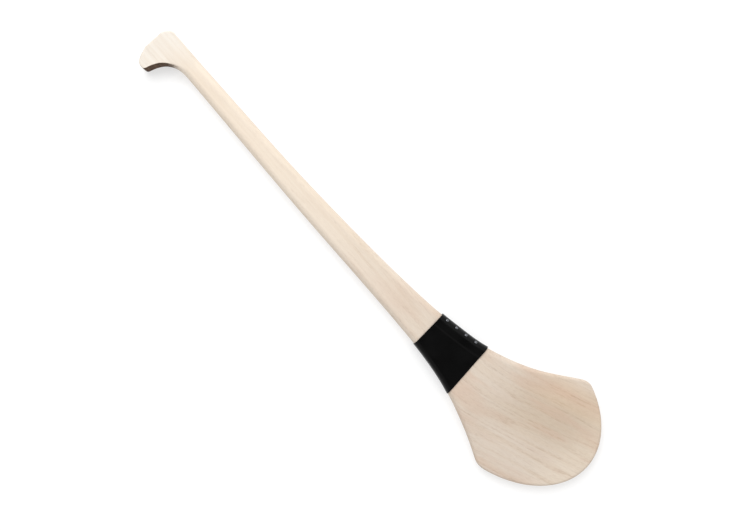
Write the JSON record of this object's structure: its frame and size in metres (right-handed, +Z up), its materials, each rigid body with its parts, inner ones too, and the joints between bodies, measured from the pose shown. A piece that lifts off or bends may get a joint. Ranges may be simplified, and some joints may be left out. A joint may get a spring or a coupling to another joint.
{
  "type": "hurley",
  "caption": "Child's hurley: a one-piece ash stick with a slim handle, a hooked heel at the butt and a wide rounded bas, with a black metal band tacked round the neck.",
  "frame": {"origin": "on the plane that the hurley lies on, under the middle of its box", "axes": "+X along the handle from the butt to the toe, +Y across it to the side of the bas's high corner, with the heel's hook on the -Y side, +Z up out of the front face"},
  "size_m": [0.6096, 0.1382, 0.0192],
  "materials": {
    "ash": "pale ash, sanded smooth, satin, the grain running along the handle and sweeping round into the bas",
    "band_paint": "thin sheet steel in satin black paint",
    "tack_steel": "blued steel, domed heads that the hammer has worn to a grey polish"
  },
  "bodies": {
    "root": {"ash_stick": "ash", "band": "band_paint", "band_tack_1": "tack_steel", "band_tack_2": "tack_steel", "band_tack_3": "tack_steel", "band_tack_4": "tack_steel"}
  },
  "joints": []
}
